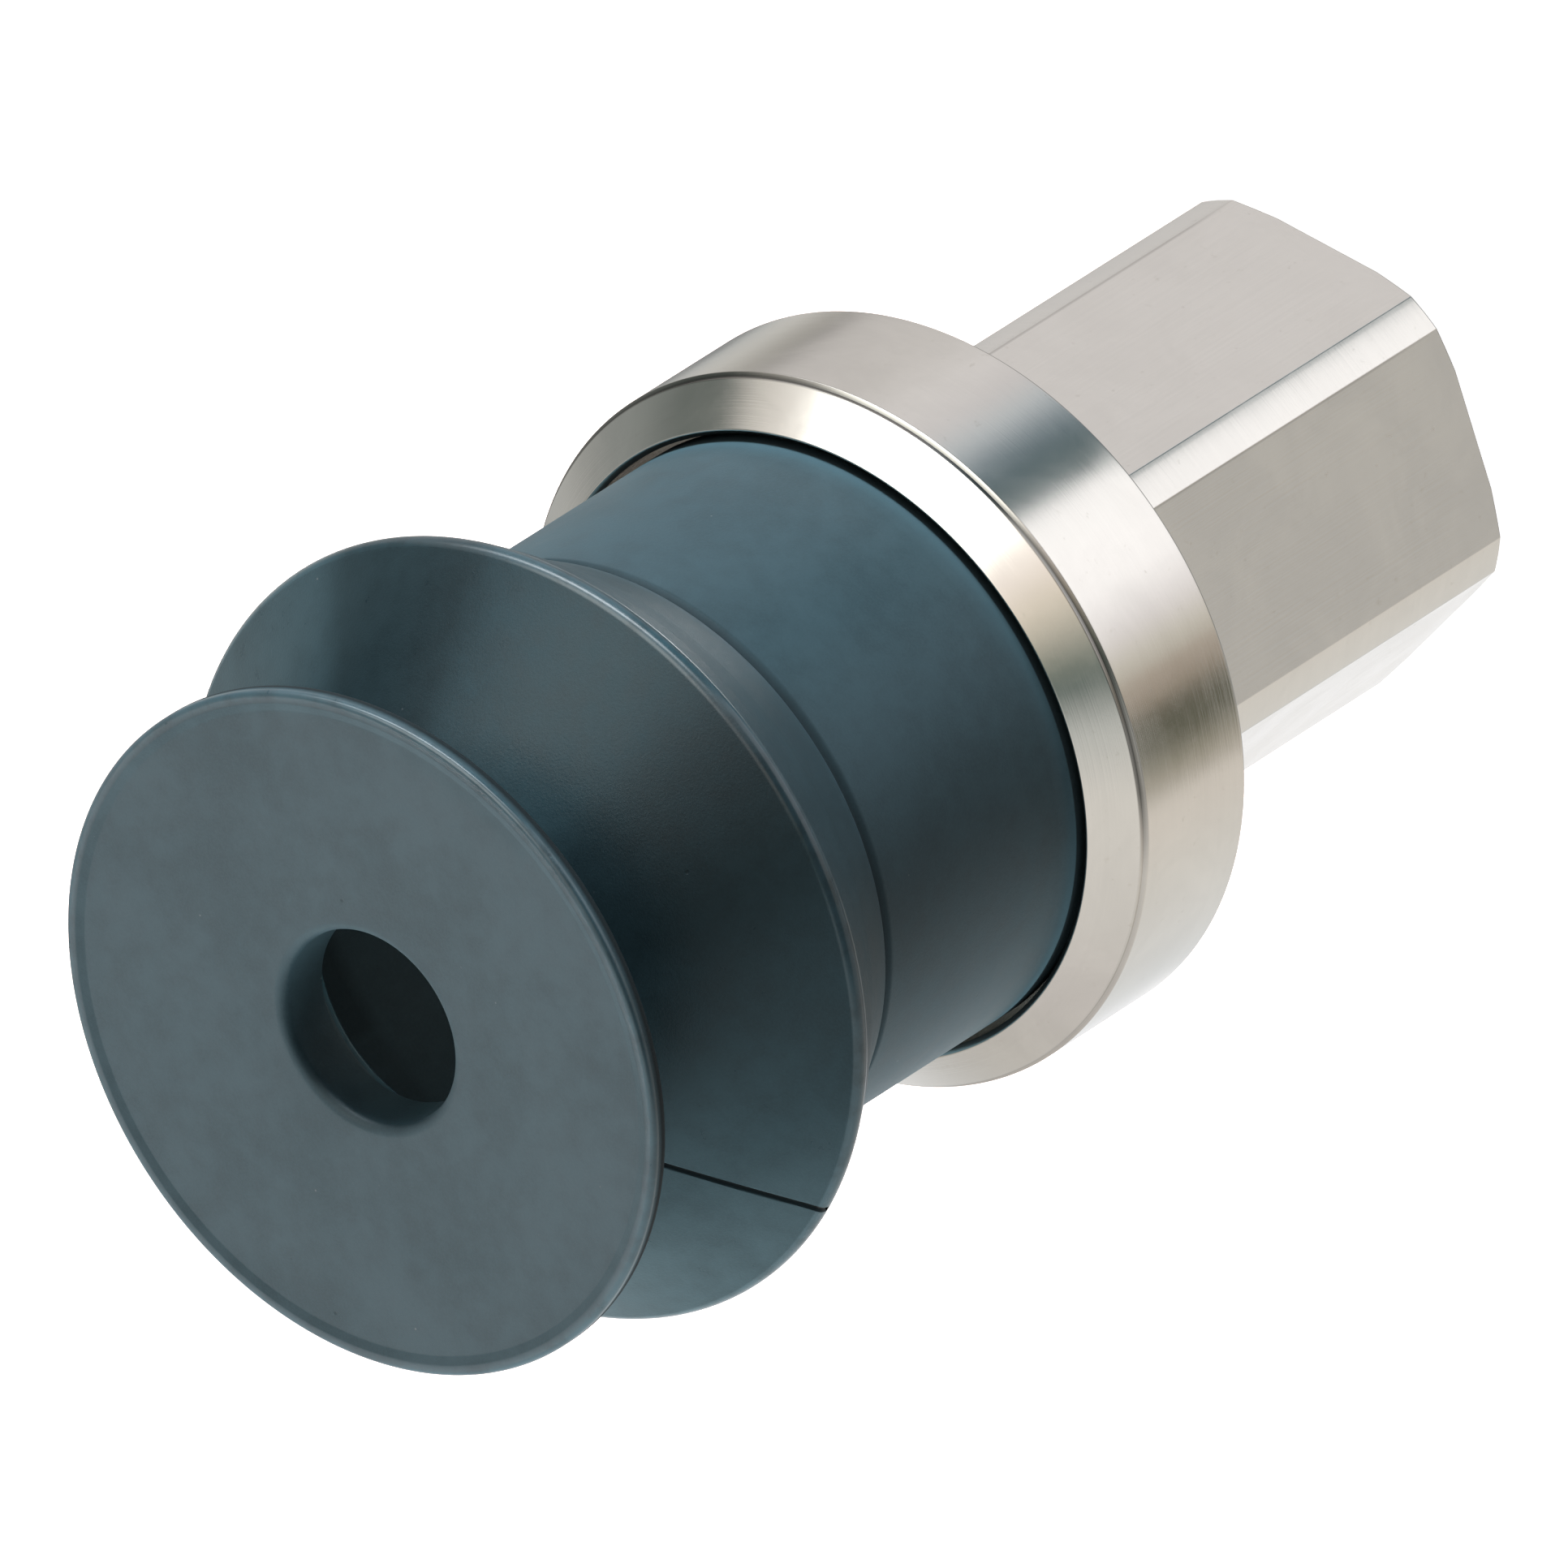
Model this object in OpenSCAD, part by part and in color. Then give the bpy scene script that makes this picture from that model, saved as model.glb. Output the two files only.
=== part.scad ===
// Suction cup with a built-in spring level compensator.
// Rear face of the hexagon at z = 0, suction lip at the top, all sizes in mm.

/* [Hex body] */
// Width of the rear hexagon across its flats
across_flats = 19; // [19:0.5:21]
// Turned corner diameter as a multiple of the width across flats
corner_ratio = 1.112; // [1.07:0.002:1.14]
// Length of the hexagon from the rear face to the collar
hex_len = 23.7; // [23.5:0.1:28]
// Angle of the chamfer on the hexagon's rear corners, from the end face
hex_chamfer_deg = 30; // [20:1:45]

/* [Rear port] */
// Wall radius of the female thread in the rear port
port_r = 5.72; // [5.4:0.02:6.2]
// Depth of the rear port
port_depth = 11; // [10:0.25:11.5]
// Width of the countersink at the port's mouth
port_lead_in = 0.9; // [0.4:0.1:1.2]

/* [Collar] */
// Outside diameter of the collar
collar_d = 30.9; // [30.4:0.1:34]
// Length of the collar from its rear face to its mouth
collar_len = 8.2; // [8.2:0.1:12]
// Height of the chamfer around the collar's mouth
mouth_chamfer = 1.5; // [0.6:0.1:2]
// Thickness of the flange that carries the collar
flange_t = 2.3; // [2:0.1:2.4]

/* [Suction cup] */
// Diameter of the sealing lip
lip_d = 29.4; // [27:0.2:32]
// Diameter over the rim of the fold
fold_d = 33.6; // [31:0.2:37]
// Diameter of the cup's cylindrical base
base_d = 26.2; // [25.6:0.1:26.4]
// Length of the base that stands out of the collar at rest
base_out = 12.4; // [12:0.1:16]
// Axial length of the fold's rear cone
rear_fold_len = 6.3; // [5:0.1:8]
// Axial length of the fold's front cone
front_fold_len = 6.4; // [5:0.1:8]
// Axial length from the neck to the lip's sealing edge
lip_len = 4.5; // [4:0.1:6]
// Diameter of the suction hole in the lip
hole_d = 8.46; // [7:0.02:9]
// Outside diameter of the neck behind the lip
neck_d = 16.8; // [14:0.2:18]

/* [Level compensation] */
// Travel of the cup into the collar
stroke = 4; // [2:0.5:4]
// Outside diameter of the guide tube
tube_d = 8; // [7.6:0.1:8.2]
// Bore of the guide tube
tube_bore = 4.4; // [3:0.1:5]
// Wire diameter of the compression spring
wire_d = 1; // [0.8:0.05:1.1]
// Number of coils in the compression spring
coils = 7; // [6:0.5:8]

/* [Hidden] */
$fn = 96;

nickel = [0.80, 0.78, 0.74];
steel = [0.66, 0.67, 0.69];
spring_steel = [0.52, 0.53, 0.55];
bronze = [0.62, 0.45, 0.24];
slate = [0.29, 0.35, 0.38];
black_rubber = [0.10, 0.10, 0.11];
acetal = [0.88, 0.87, 0.82];

// heights of the housing, from the rear face
corner_r = across_flats * corner_ratio / 2;
face_r = 0.961 * across_flats / 2;
web_t = 3;
relief_r = port_r + 0.4;
thread_z = port_depth - 1.4;
chamber_z = port_depth + web_t;
chamber_r = 7.9;
flange_z = hex_len + flange_t;
mouth_z = hex_len + collar_len;

// radii of the collar
cavity_r = base_d / 2 + 0.25;
collar_r = collar_d / 2;
collar_seat_r = (cavity_r + collar_r) / 2 - 0.4;

// heights of the carrier and of the cup
base_z = flange_z + stroke + 0.2;
pocket_z = base_z + 1.4;
groove_z = mouth_z + base_out;
nose_z = groove_z - 1.8;
rim_z = groove_z + rear_fold_len;
neck_z = rim_z + front_fold_len;
lip_z = neck_z + lip_len;

tube_r = tube_d / 2;
shoulder_r = 6.4;
shoulder_t = 1.6;
seat_t = 0.6;
seat_z = chamber_z + shoulder_t;
spring_z = seat_z + seat_t;
washer_t = 0.6;
spring_r = 5.25;
running = 0.05;

base_r = base_d / 2;
lip_r = lip_d / 2;
fold_r = fold_d / 2;
neck_r = neck_d / 2;
hole_r = hole_d / 2;
throat_r = 6;
skirt_r = 7.6;

// plain ring from z0 to z1
module ring(r0, r1, z0, z1) {
    translate([0, 0, z0]) difference() {
        cylinder(r = r1, h = z1 - z0);
        translate([0, 0, -1]) cylinder(r = r0, h = z1 - z0 + 2);
    }
}

// ring of round cross-section
module o_ring(mean_r, wire_r, z) {
    translate([0, 0, z]) rotate_extrude() translate([mean_r, 0]) circle(r = wire_r, $fn = 32);
}

// Hexagon, the flange that takes the collar, the rear port and the spring chamber
module hex_body() color(nickel) difference() {
    union() {
        intersection() {
            cylinder(r = across_flats / sqrt(3), h = hex_len, $fn = 6);
            rotate_extrude() polygon([
                [0, 0], [face_r, 0],
                [corner_r, (corner_r - face_r) * tan(hex_chamfer_deg)],
                [corner_r, hex_len], [0, hex_len]]);
        }
        translate([0, 0, hex_len]) cylinder(r = collar_seat_r, h = flange_t);
    }
    rotate_extrude() polygon([
        [0, -1], [port_r + port_lead_in + 1, -1], [port_r + port_lead_in, 0], [port_r, port_lead_in],
        [port_r, thread_z], [relief_r, thread_z], [relief_r, port_depth], [tube_r, port_depth], [tube_r, chamber_z], [chamber_r, chamber_z],
        [chamber_r, flange_z - 0.4], [chamber_r + 0.4, flange_z], [chamber_r + 1.4, flange_z + 1], [0, flange_z + 1]]);
}

// Chamfered ring screwed over the flange, open to the front
module collar_sleeve() color(nickel) rotate_extrude() polygon([
    [collar_seat_r, hex_len], [collar_r - 0.25, hex_len], [collar_r, hex_len + 0.25],
    [collar_r, mouth_z - mouth_chamfer], [cavity_r + 0.25, mouth_z], [cavity_r, mouth_z - 0.25],
    [cavity_r, flange_z], [collar_seat_r, flange_z]]);

// Fixed tube that carries the vacuum and guides the cup
module guide_tube() color(steel) rotate_extrude() polygon([
    [tube_bore / 2, port_depth], [tube_r - 0.3, port_depth], [tube_r, port_depth + 0.3], [tube_r, chamber_z],
    [4.6, chamber_z], [4.6, chamber_z + 1], [5.9, chamber_z + 1], [5.9, chamber_z],
    [shoulder_r, chamber_z], [shoulder_r, seat_z], [tube_r, seat_z],
    [tube_r, nose_z + 1.8], [tube_r - 0.5, nose_z + 1.8], [tube_r - 0.5, nose_z + 2.5],
    [tube_r, nose_z + 2.5], [tube_r, nose_z + 3.1], [tube_r - 0.4, nose_z + 3.5],
    [tube_bore / 2 + 0.3, nose_z + 3.5], [tube_bore / 2, nose_z + 3.2]]);

// Static seal under the guide tube's shoulder
module tube_seal() color(black_rubber) o_ring(5.25, 0.49, chamber_z + 0.5);

// Perforated disc on the floor of the rear port
module filter_screen() color(steel) difference() {
    translate([0, 0, port_depth - 0.6]) cylinder(r = port_r - 0.06, h = 0.6);
    for (i = [-3:3], j = [-3:3])
        let (x = 1.45 * (i + j / 2), y = 1.45 * j * sqrt(3) / 2)
            if (norm([x, y]) < port_r - 1.15)
                translate([x, y, port_depth - 1]) cylinder(r = 0.5, h = 2, $fn = 24);
}

// Sprung ring in the port's relief groove, which holds the screen
module filter_ring() color(spring_steel) difference() {
    ring(port_r - 0.8, relief_r - 0.03, port_depth - 1.3, port_depth - 0.6);
    rotate([0, 0, 45]) translate([0, -0.9, port_depth - 2]) cube([10, 1.8, 2]);
}

// Hardened washer under the spring
module spring_seat() color(steel) ring(tube_r + 0.25, 7.2, seat_z, spring_z);

// Compression spring with closed ends
function coil_z(t, n, h, w) =
    let (lead = w * 1.04, free = (h - w - 2 * lead) / (n - 2))
    t < 1 ? lead * t : t > n - 1 ? h - w - lead * (n - t) : lead + free * (t - 1);

module compression_spring() {
    gap = 0.04;
    h = pocket_z - washer_t - spring_z - 2 * gap;
    sides = 8;
    per_turn = 20;
    rings = floor(coils * per_turn);
    pts = [for (i = [0:rings]) let (t = i / per_turn, a = 360 * t,
               z = spring_z + gap + wire_d / 2 + coil_z(t, coils, h, wire_d))
           for (k = [0:sides - 1]) let (b = 360 * (k + 0.5) / sides,
               q = spring_r + wire_d / 2 * cos(b))
           [q * cos(a), q * sin(a), z + wire_d / 2 * sin(b)]];
    walls = [for (i = [0:rings - 1], k = [0:sides - 1]) let (m = (k + 1) % sides)
             each [[i * sides + k, i * sides + m, (i + 1) * sides + m],
                   [i * sides + k, (i + 1) * sides + m, (i + 1) * sides + k]]];
    caps = [[for (k = [sides - 1:-1:0]) k], [for (k = [0:sides - 1]) rings * sides + k]];
    color(spring_steel) polyhedron(points = pts, faces = concat(walls, caps), convexity = 8);
}

// Soft ring that cushions the return stroke
module bumper_ring() color(black_rubber) ring(tube_r, 6.2, nose_z, nose_z + 1);

// Washer that stops the carrier
module stop_washer() color(steel) ring(tube_r, 6.5, nose_z + 1, nose_z + 1.8);

// External retaining ring in the guide tube's groove
module circlip() color(spring_steel) translate([0, 0, nose_z + 1.8]) difference() {
    union() {
        cylinder(r = tube_r + 0.75, h = 0.7);
        for (s = [-1, 1]) rotate([0, 0, 22 * s]) translate([tube_r + 0.9, 0, 0]) cylinder(r = 0.85, h = 0.7, $fn = 32);
    }
    translate([0, 0, -1]) cylinder(r = tube_r - 0.5, h = 3);
    translate([0, 0, -1]) linear_extrude(3) polygon([[0, 0], [9, -1.7], [9, 1.7]]);
    for (s = [-1, 1]) rotate([0, 0, 22 * s]) translate([tube_r + 1, 0, -1]) cylinder(r = 0.4, h = 3, $fn = 24);
}

// Washer between the spring and the carrier, on which the cup turns
module thrust_washer() color(steel) ring(tube_r + 0.3, 6.15, pocket_z - washer_t, pocket_z);

// Rear outline of the carrier, from the rubber's end to its nose
carrier_side = [
    [skirt_r, base_z + 1], [11, base_z + 1], [11, base_z + 2.8], [8.9, base_z + 2.8], [8.9, base_z + 4.8],
    [10.2, base_z + 4.8], [9.1, base_z + 8], [10, base_z + 8], [8.8, nose_z - 1], [8.8, nose_z]];

// Sliding barbed nipple with the spring pocket and the seats of its bush and seal
module cup_carrier() color(nickel) rotate_extrude() polygon(concat(
    [[6.4, base_z - 9.7], [skirt_r, base_z - 9.7], [skirt_r, base_z - 8.2], [skirt_r - 0.5, base_z - 8.2],
     [skirt_r - 0.5, base_z - 5.2], [skirt_r, base_z - 5.2]],
    carrier_side,
    [[6.3, nose_z], [6.3, nose_z - 2.3], [5.2, nose_z - 2.3], [5.2, pocket_z + 1.4],
     [4.35, pocket_z + 1.4], [4.35, pocket_z], [6.4, pocket_z]]));

// Sintered bush that runs on the guide tube
module slide_bush() color(bronze) ring(tube_r + running, 5.2, pocket_z + 1.4, nose_z - 2.3);

// Lip seal between the carrier and the guide tube
module shaft_seal() color(black_rubber) rotate_extrude() polygon([
    [tube_r + 0.4, nose_z - 2.3], [6.3, nose_z - 2.3], [6.3, nose_z - 0.9], [5.5, nose_z - 0.9], [5.2, nose_z - 1.7],
    [tube_r + 0.5, nose_z - 0.9], [tube_r + 0.03, nose_z - 1.1], [tube_r + 0.03, nose_z - 1.5]]);

// Pressed ring that holds the seal in the nose
module seal_retainer() color(steel) ring(tube_r + 0.3, 6.3, nose_z - 0.9, nose_z);

// Low-friction band on the carrier's skirt
module guide_band() color(acetal) difference() {
    ring(skirt_r - 0.5, chamber_r - running, base_z - 8.2, base_z - 5.2);
    rotate([0, 0, 90]) translate([0, -0.4, base_z - 9]) cube([10, 0.8, 5]);
}

// Cylindrical base of the rubber cup, stretched over the carrier
module cup_base() color(slate) rotate_extrude() polygon(concat(
    [[base_r, groove_z], [base_r, base_z + 0.4], [base_r - 0.4, base_z], [skirt_r, base_z]],
    carrier_side,
    [[10.6, groove_z]]));

// Rear cone of the fold
module cup_rear_fold() color(slate) rotate_extrude() polygon([
    [10.6, groove_z], [base_r, groove_z], [fold_r - 0.35, rim_z - 0.5], [fold_r, rim_z], [fold_r - 2.2, rim_z]]);

// Front cone of the fold, down to the neck
module cup_front_fold() color(slate) rotate_extrude() polygon([
    [fold_r - 2.2, rim_z], [fold_r, rim_z], [fold_r - 0.35, rim_z + 0.5], [neck_r, neck_z],
    [throat_r, neck_z], [throat_r, neck_z - 0.7]]);

// Sealing lip with its suction hole
module cup_lip() color(slate) rotate_extrude() polygon([
    [throat_r, neck_z], [neck_r, neck_z], [neck_r + 0.6, neck_z + 1], [lip_r - 0.4, lip_z - 0.95],
    [lip_r, lip_z - 0.75], [lip_r, lip_z - 0.15], [lip_r - 0.15, lip_z], [lip_r - 0.6, lip_z],
    [hole_r + 0.25, lip_z - 0.5], [hole_r, lip_z - 0.75], [hole_r, lip_z - 2.9]]);

hex_body();
collar_sleeve();
guide_tube();
tube_seal();
filter_screen();
filter_ring();
spring_seat();
compression_spring();
bumper_ring();
stop_washer();
circlip();
thrust_washer();
cup_carrier();
slide_bush();
shaft_seal();
seal_retainer();
guide_band();
cup_base();
cup_rear_fold();
cup_front_fold();
cup_lip();
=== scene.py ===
import math

import bpy
from mathutils import Matrix, Vector


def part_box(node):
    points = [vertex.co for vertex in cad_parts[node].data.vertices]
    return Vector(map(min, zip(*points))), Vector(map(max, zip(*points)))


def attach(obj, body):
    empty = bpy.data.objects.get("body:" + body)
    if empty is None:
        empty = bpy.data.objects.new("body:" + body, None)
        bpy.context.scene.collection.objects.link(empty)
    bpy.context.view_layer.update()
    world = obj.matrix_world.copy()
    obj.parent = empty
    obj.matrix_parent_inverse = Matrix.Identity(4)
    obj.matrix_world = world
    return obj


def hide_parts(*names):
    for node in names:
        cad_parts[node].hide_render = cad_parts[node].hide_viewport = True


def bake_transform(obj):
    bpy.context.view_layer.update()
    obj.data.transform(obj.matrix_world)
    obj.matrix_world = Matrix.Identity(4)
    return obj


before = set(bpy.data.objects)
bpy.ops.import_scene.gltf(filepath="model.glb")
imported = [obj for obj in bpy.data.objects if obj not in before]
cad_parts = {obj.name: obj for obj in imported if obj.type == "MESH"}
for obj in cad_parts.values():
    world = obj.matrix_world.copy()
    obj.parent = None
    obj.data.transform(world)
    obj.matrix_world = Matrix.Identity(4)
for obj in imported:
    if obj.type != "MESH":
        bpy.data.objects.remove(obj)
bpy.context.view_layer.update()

# Every length below is in millimetres and goes into the meshes as metres.
MM = 0.001


def top(node):
    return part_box(node)[1].z / MM


def foot(node):
    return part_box(node)[0].z / MM


def reach(node):
    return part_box(node)[1].x / MM


# ---------------------------------------------------------------- outlines

def rounded(points, closed=True, per=9.0):
    """Outline of (r, z, fillet) corners, anticlockwise, as points with arcs and a mask that is 1 on outer corners."""
    out, mask = [], []
    n = len(points)
    for i, (x, y, f) in enumerate(points):
        p = Vector((x, y))
        if f <= 0 or (not closed and i in (0, n - 1)):
            out.append((x, y))
            mask.append(0.0)
            continue
        a = Vector(points[i - 1][:2]) - p
        b = Vector(points[(i + 1) % n][:2]) - p
        la, lb = a.length, b.length
        a.normalize()
        b.normalize()
        inner = math.acos(max(-1.0, min(1.0, a.dot(b))))
        t = min(f / math.tan(inner / 2), 0.49 * la, 0.49 * lb)
        f = t * math.tan(inner / 2)
        centre = p + (a + b).normalized() * (f / math.sin(inner / 2))
        turn = math.pi - inner
        side = 1.0 if -a.x * b.y + a.y * b.x > 0 else -1.0
        v = p + a * t - centre
        k = max(2, math.ceil(math.degrees(turn) / per))
        for j in range(k + 1):
            w = side * turn * j / k
            out.append((centre.x + v.x * math.cos(w) - v.y * math.sin(w),
                        centre.y + v.x * math.sin(w) + v.y * math.cos(w)))
            mask.append(1.0 if side > 0 and f < 1.0 else 0.0)
    return out, mask


def refined(loop, mask, step, support=0.05, counts=None, closed=True):
    """Support points beside each bend, and long runs cut to step. counts fixes the number of cuts for each run."""
    out, m, used = [], [], []
    n = len(loop)
    for i in range(n if closed else n - 1):
        p, q = Vector(loop[i]), Vector(loop[(i + 1) % n])
        d = (q - p).length
        out.append(tuple(p))
        m.append(mask[i])
        if counts is None:
            k = 0 if d < 4 * support else max(1, math.ceil((d - 2 * support) / step))
        else:
            k = counts[i]
        used.append(k)
        if k:
            s = min(support / d, 0.25)
            for j in range(k + 1):
                f = s + (1 - 2 * s) * j / k
                out.append(tuple(p.lerp(q, f)))
                m.append(0.0)
    if not closed:
        out.append(loop[-1])
        m.append(mask[-1])
    return out, m, used


def cut(path, mask, at, land=0.03):
    """Splits an open outline at height `at`, where it runs upright, with a short upright land on each side."""
    i = next(k for k in range(len(path) - 1) if path[k][1] < at <= path[k + 1][1])
    (r0, z0), (r1, z1) = path[i], path[i + 1]
    r = r0 + (r1 - r0) * (at - z0) / (z1 - z0)
    low = [(p, k) for p, k in zip(path[:i + 1], mask[:i + 1]) if p[1] < at - 2 * land]
    high = [(p, k) for p, k in zip(path[i + 1:], mask[i + 1:]) if p[1] > at + 2 * land]
    k = mask[i]
    low += [((r, at - land), k), ((r, at), k)]
    high = [((r, at), k), ((r, at + land), k)] + high
    return [list(x) for x in zip(*low)], [list(x) for x in zip(*high)]


# ------------------------------------------------------------------ meshes

def columns(count, *fine):
    """Angles round the axis in radians: even ones, and finer ones at each (angle, offsets) in degrees."""
    even = [360.0 * i / count for i in range(count)]
    for angle, offsets in fine:
        reach_deg = max(abs(o) for o in offsets) + 0.4 * 360.0 / count
        even = [e for e in even if abs((e - angle + 180) % 360 - 180) > reach_deg]
        even += [(angle + o) % 360 for o in offsets]
    return [math.radians(e) for e in sorted(even)]


def piece(name, verts, faces, marks=None, sharp=32.0):
    mesh = bpy.data.meshes.new(name)
    mesh.from_pydata([Vector(v) * MM for v in verts], [], faces)
    mesh.validate()
    for key, values in (marks or {}).items():
        layer = mesh.attributes.new(key, "FLOAT", "POINT")
        layer.data.foreach_set("value", [float(v) for v in values])
    for poly in mesh.polygons:
        poly.use_smooth = True
    mesh.set_sharp_from_angle(angle=math.radians(sharp))
    mesh.update()
    obj = bpy.data.objects.new(name, mesh)
    bpy.context.scene.collection.objects.link(obj)
    return obj


def turned(name, loops, angles, marks=None, sharp=32.0, cut_in=None, slant=None):
    """Closed ring swept round Z. loops is one outline, or one for each angle with the same number of points."""
    n = len(angles)
    if not isinstance(loops[0][0], (list, tuple)):
        loops = [loops] * n
    k = len(loops[0])
    verts = []
    for loop, a in zip(loops, angles):
        for r, z in loop:
            turn = slant(r, z, a) if slant else 0.0
            if cut_in:
                r, z = cut_in(r, z, a)
            verts.append((r * math.cos(a + turn), r * math.sin(a + turn), z))
    faces = []
    for j in range(n):
        j1 = (j + 1) % n
        for i in range(k):
            i1 = (i + 1) % k
            faces.append((j * k + i, j1 * k + i, j1 * k + i1, j * k + i1))
    values = {}
    for key, row in (marks or {}).items():
        values[key] = list(row) * n if len(row) == k else row
    return piece(name, verts, faces, values, sharp)


# ------------------------------------------------------- photograph's angle

W = Vector((math.cos(math.radians(-68.5)), math.sin(math.radians(-68.5)), 0))
Z = Vector((0, 0, 1))
V = W.cross(Z)


def photo_angle(deg):
    """Angle round +Z of a place seen at `deg` from the side that faces the camera, towards the picture's lower right."""
    return (-68.5 - deg) % 360


# ---------------------------------------------------------------- housing

across, corner_r, face_r, hex_len = 19.0, 10.525, 9.75, 23.7
flange_top = top("hex_body")
chamber_r, chamber_z, port_depth = 7.9, 14.0, foot("guide_tube")
port_r, lead_in, relief_r, thread_top, pitch = 5.72, 0.9, 6.12, 9.6, 1.337


def hex_radius(a):
    """Radius of the bar at angle a: flats, turned corners, and a small radius between them."""
    off = math.degrees(a) % 60 - 30
    flat = across / 2 / math.cos(math.radians(off))
    k = 0.012
    h = max(k - abs(flat - corner_r), 0) / k
    return min(flat, corner_r) - h * h * k / 4


def thread_row(a, z):
    """Radius of the female thread with rounded crests, its countersink and its run-out."""
    turn = z / pitch - a / (2 * math.pi)
    fade = min(1.0, max(0.0, (thread_top - 0.25 - z) / 0.9))
    fade = fade * fade * (3 - 2 * fade)
    wave = 0.5 - 0.5 * math.cos(2 * math.pi * turn)
    cone = port_r + lead_in - z
    cutter = port_r + 0.86 * wave * fade
    k = 0.08
    h = max(k - abs(cone - cutter), 0) / k
    return max(cone, cutter) + h * h * k / 4


edge_off = math.degrees(math.acos(across / 2 / corner_r))
fine_edge = [-1.6, -1.0, -0.7, -0.5, -0.36, -0.24, -0.12, 0, 0.12, 0.24, 0.36, 0.5, 0.7, 1.0, 1.6]
hex_angles = columns(144, *[(30 + 60 * s + e * edge_off, fine_edge) for s in range(6) for e in (-1, 1)])

rows = [thread_top * (1 - i / 96) for i in range(97)]
hex_loops, counts, hex_mask = [], None, None
for a in hex_angles:
    R = hex_radius(a)
    flat_end = min(face_r, R - 0.09)
    bend = [(flat_end, 0, 0.06), (R, (R - flat_end) * math.tan(math.radians(25)), 0.10), (R, hex_len, 0.15),
            (14.0, hex_len, 0.12), (14.0, flange_top, 0), (chamber_r + 0.4, flange_top, 0.05),
            (chamber_r, flange_top - 0.4, 0.05), (chamber_r, chamber_z, 0.15), (4.0, chamber_z, 0.05),
            (4.0, port_depth, 0.05), (relief_r, port_depth, 0.1), (relief_r, thread_top, 0.05)]
    start = (thread_row(a, 0), 0)
    path, mask = rounded([(*start, 0)] + bend + [(thread_row(a, thread_top), thread_top, 0)], closed=False)
    path, mask, used = refined(path, mask, 3.0, counts=counts, closed=False)
    counts = counts or used
    hex_loops.append(path + [(thread_row(a, z), z) for z in rows[1:-1]])
    hex_mask = mask + [0.0] * (len(rows) - 2)
flats, painted_edge_line = [], []
for a, loop in zip(hex_angles, hex_loops):
    off = math.degrees(a) % 60 - 30
    # painted reflection: a fine dark line along one edge of each flat
    painted_line_amount = 0.28 * max(0.0, 1 - abs(off - edge_off + 0.2) / 0.45)
    for r, z in loop:
        painted_edge_line.append(painted_line_amount if 0.9 < z < hex_len and 9.2 < r < 10.7 else 0.0)
        on_flat = 0.38 < z < hex_len - 0.05 and r > 9.2 and r < 10.7 and abs(off) < edge_off
        flats.append(1.0 if on_flat else 0.0)
hex_piece = turned("hex_body_detail", hex_loops, hex_angles,
                   {"edge": hex_mask, "flat": flats, "painted_dark_line": painted_edge_line})

collar_lo, collar_hi, collar_r = foot("collar_sleeve"), top("collar_sleeve"), reach("collar_sleeve")
mouth_r, seat_r = 13.35, 14.0
collar_points = [(seat_r + 0.12, collar_lo, 0.03), (collar_r - 0.25, collar_lo, 0.08), (collar_r, collar_lo + 0.25, 0.12),
                 (collar_r, collar_hi - 1.5 - 0.14, 0.03), (collar_r - 0.16, collar_hi - 1.5 - 0.03, 0.02),
                 (collar_r - 0.17, collar_hi - 1.5 + 0.138, 0.03), (mouth_r + 0.25, collar_hi, 0.07), (mouth_r, collar_hi - 0.25, 0.08),
                 (mouth_r, flange_top, 0), (seat_r, flange_top, 0), (seat_r, collar_lo + 0.12, 0.03)]
loop, mask = rounded(collar_points)
loop, mask, _ = refined(loop, mask, 1.6)
# painted shade in the fine groove at the chamfer's edge
painted_dark_line = [max(0.0, 1 - math.hypot(r - collar_r + 0.10, z - collar_hi + 1.5) / 0.20) ** 0.4 for r, z in loop]
ring = columns(288)
# the painted groove shade is weaker on one side of the collar
full = [min(1.0, max(0.25, (52 - ((-68.5 - math.degrees(a) + 180) % 360 - 180)) / 18)) for a in ring]
collar_piece = turned("collar_ring", loop, ring, {"edge": mask, "painted_dark_line": [f * v for f in full for v in painted_dark_line]})

# ------------------------------------------------------------- rubber cup

base_r, fold_r, lip_r = reach("cup_base"), reach("cup_rear_fold"), reach("cup_lip")
base_z, groove_z, rim_z = foot("cup_base"), foot("cup_rear_fold"), foot("cup_front_fold")
neck_z, lip_z = foot("cup_lip"), top("cup_lip")
neck_r, throat_r, hole_r = 8.4, 6.0, 4.23

rim_radius = 0.5
rim = Vector((fold_r - rim_radius, rim_z))


def lean(p, sign):
    """Angle from the axis of the line from p that touches the rim's circle on its outer side."""
    d = rim - Vector(p)
    return math.atan2(abs(d.x), abs(d.y)) + sign * math.asin(rim_radius / d.length)


alpha, beta = lean((base_r, groove_z), 1), lean((neck_r, neck_z), 1)
# where the two cones would meet without the rim's radius
t = ((neck_z - groove_z) * math.sin(beta) - (base_r - neck_r) * math.cos(beta)) / math.sin(alpha + beta)
rim_corner = (base_r + t * math.sin(alpha), groove_z + t * math.cos(alpha))



def on_cone(along, hollow=0.0):
    """Place on the rear cone, `along` from the groove and `hollow` below its straight line."""
    return (base_r + along * math.sin(alpha) - hollow * math.cos(alpha),
            groove_z + along * math.cos(alpha) + hollow * math.sin(alpha))


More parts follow.
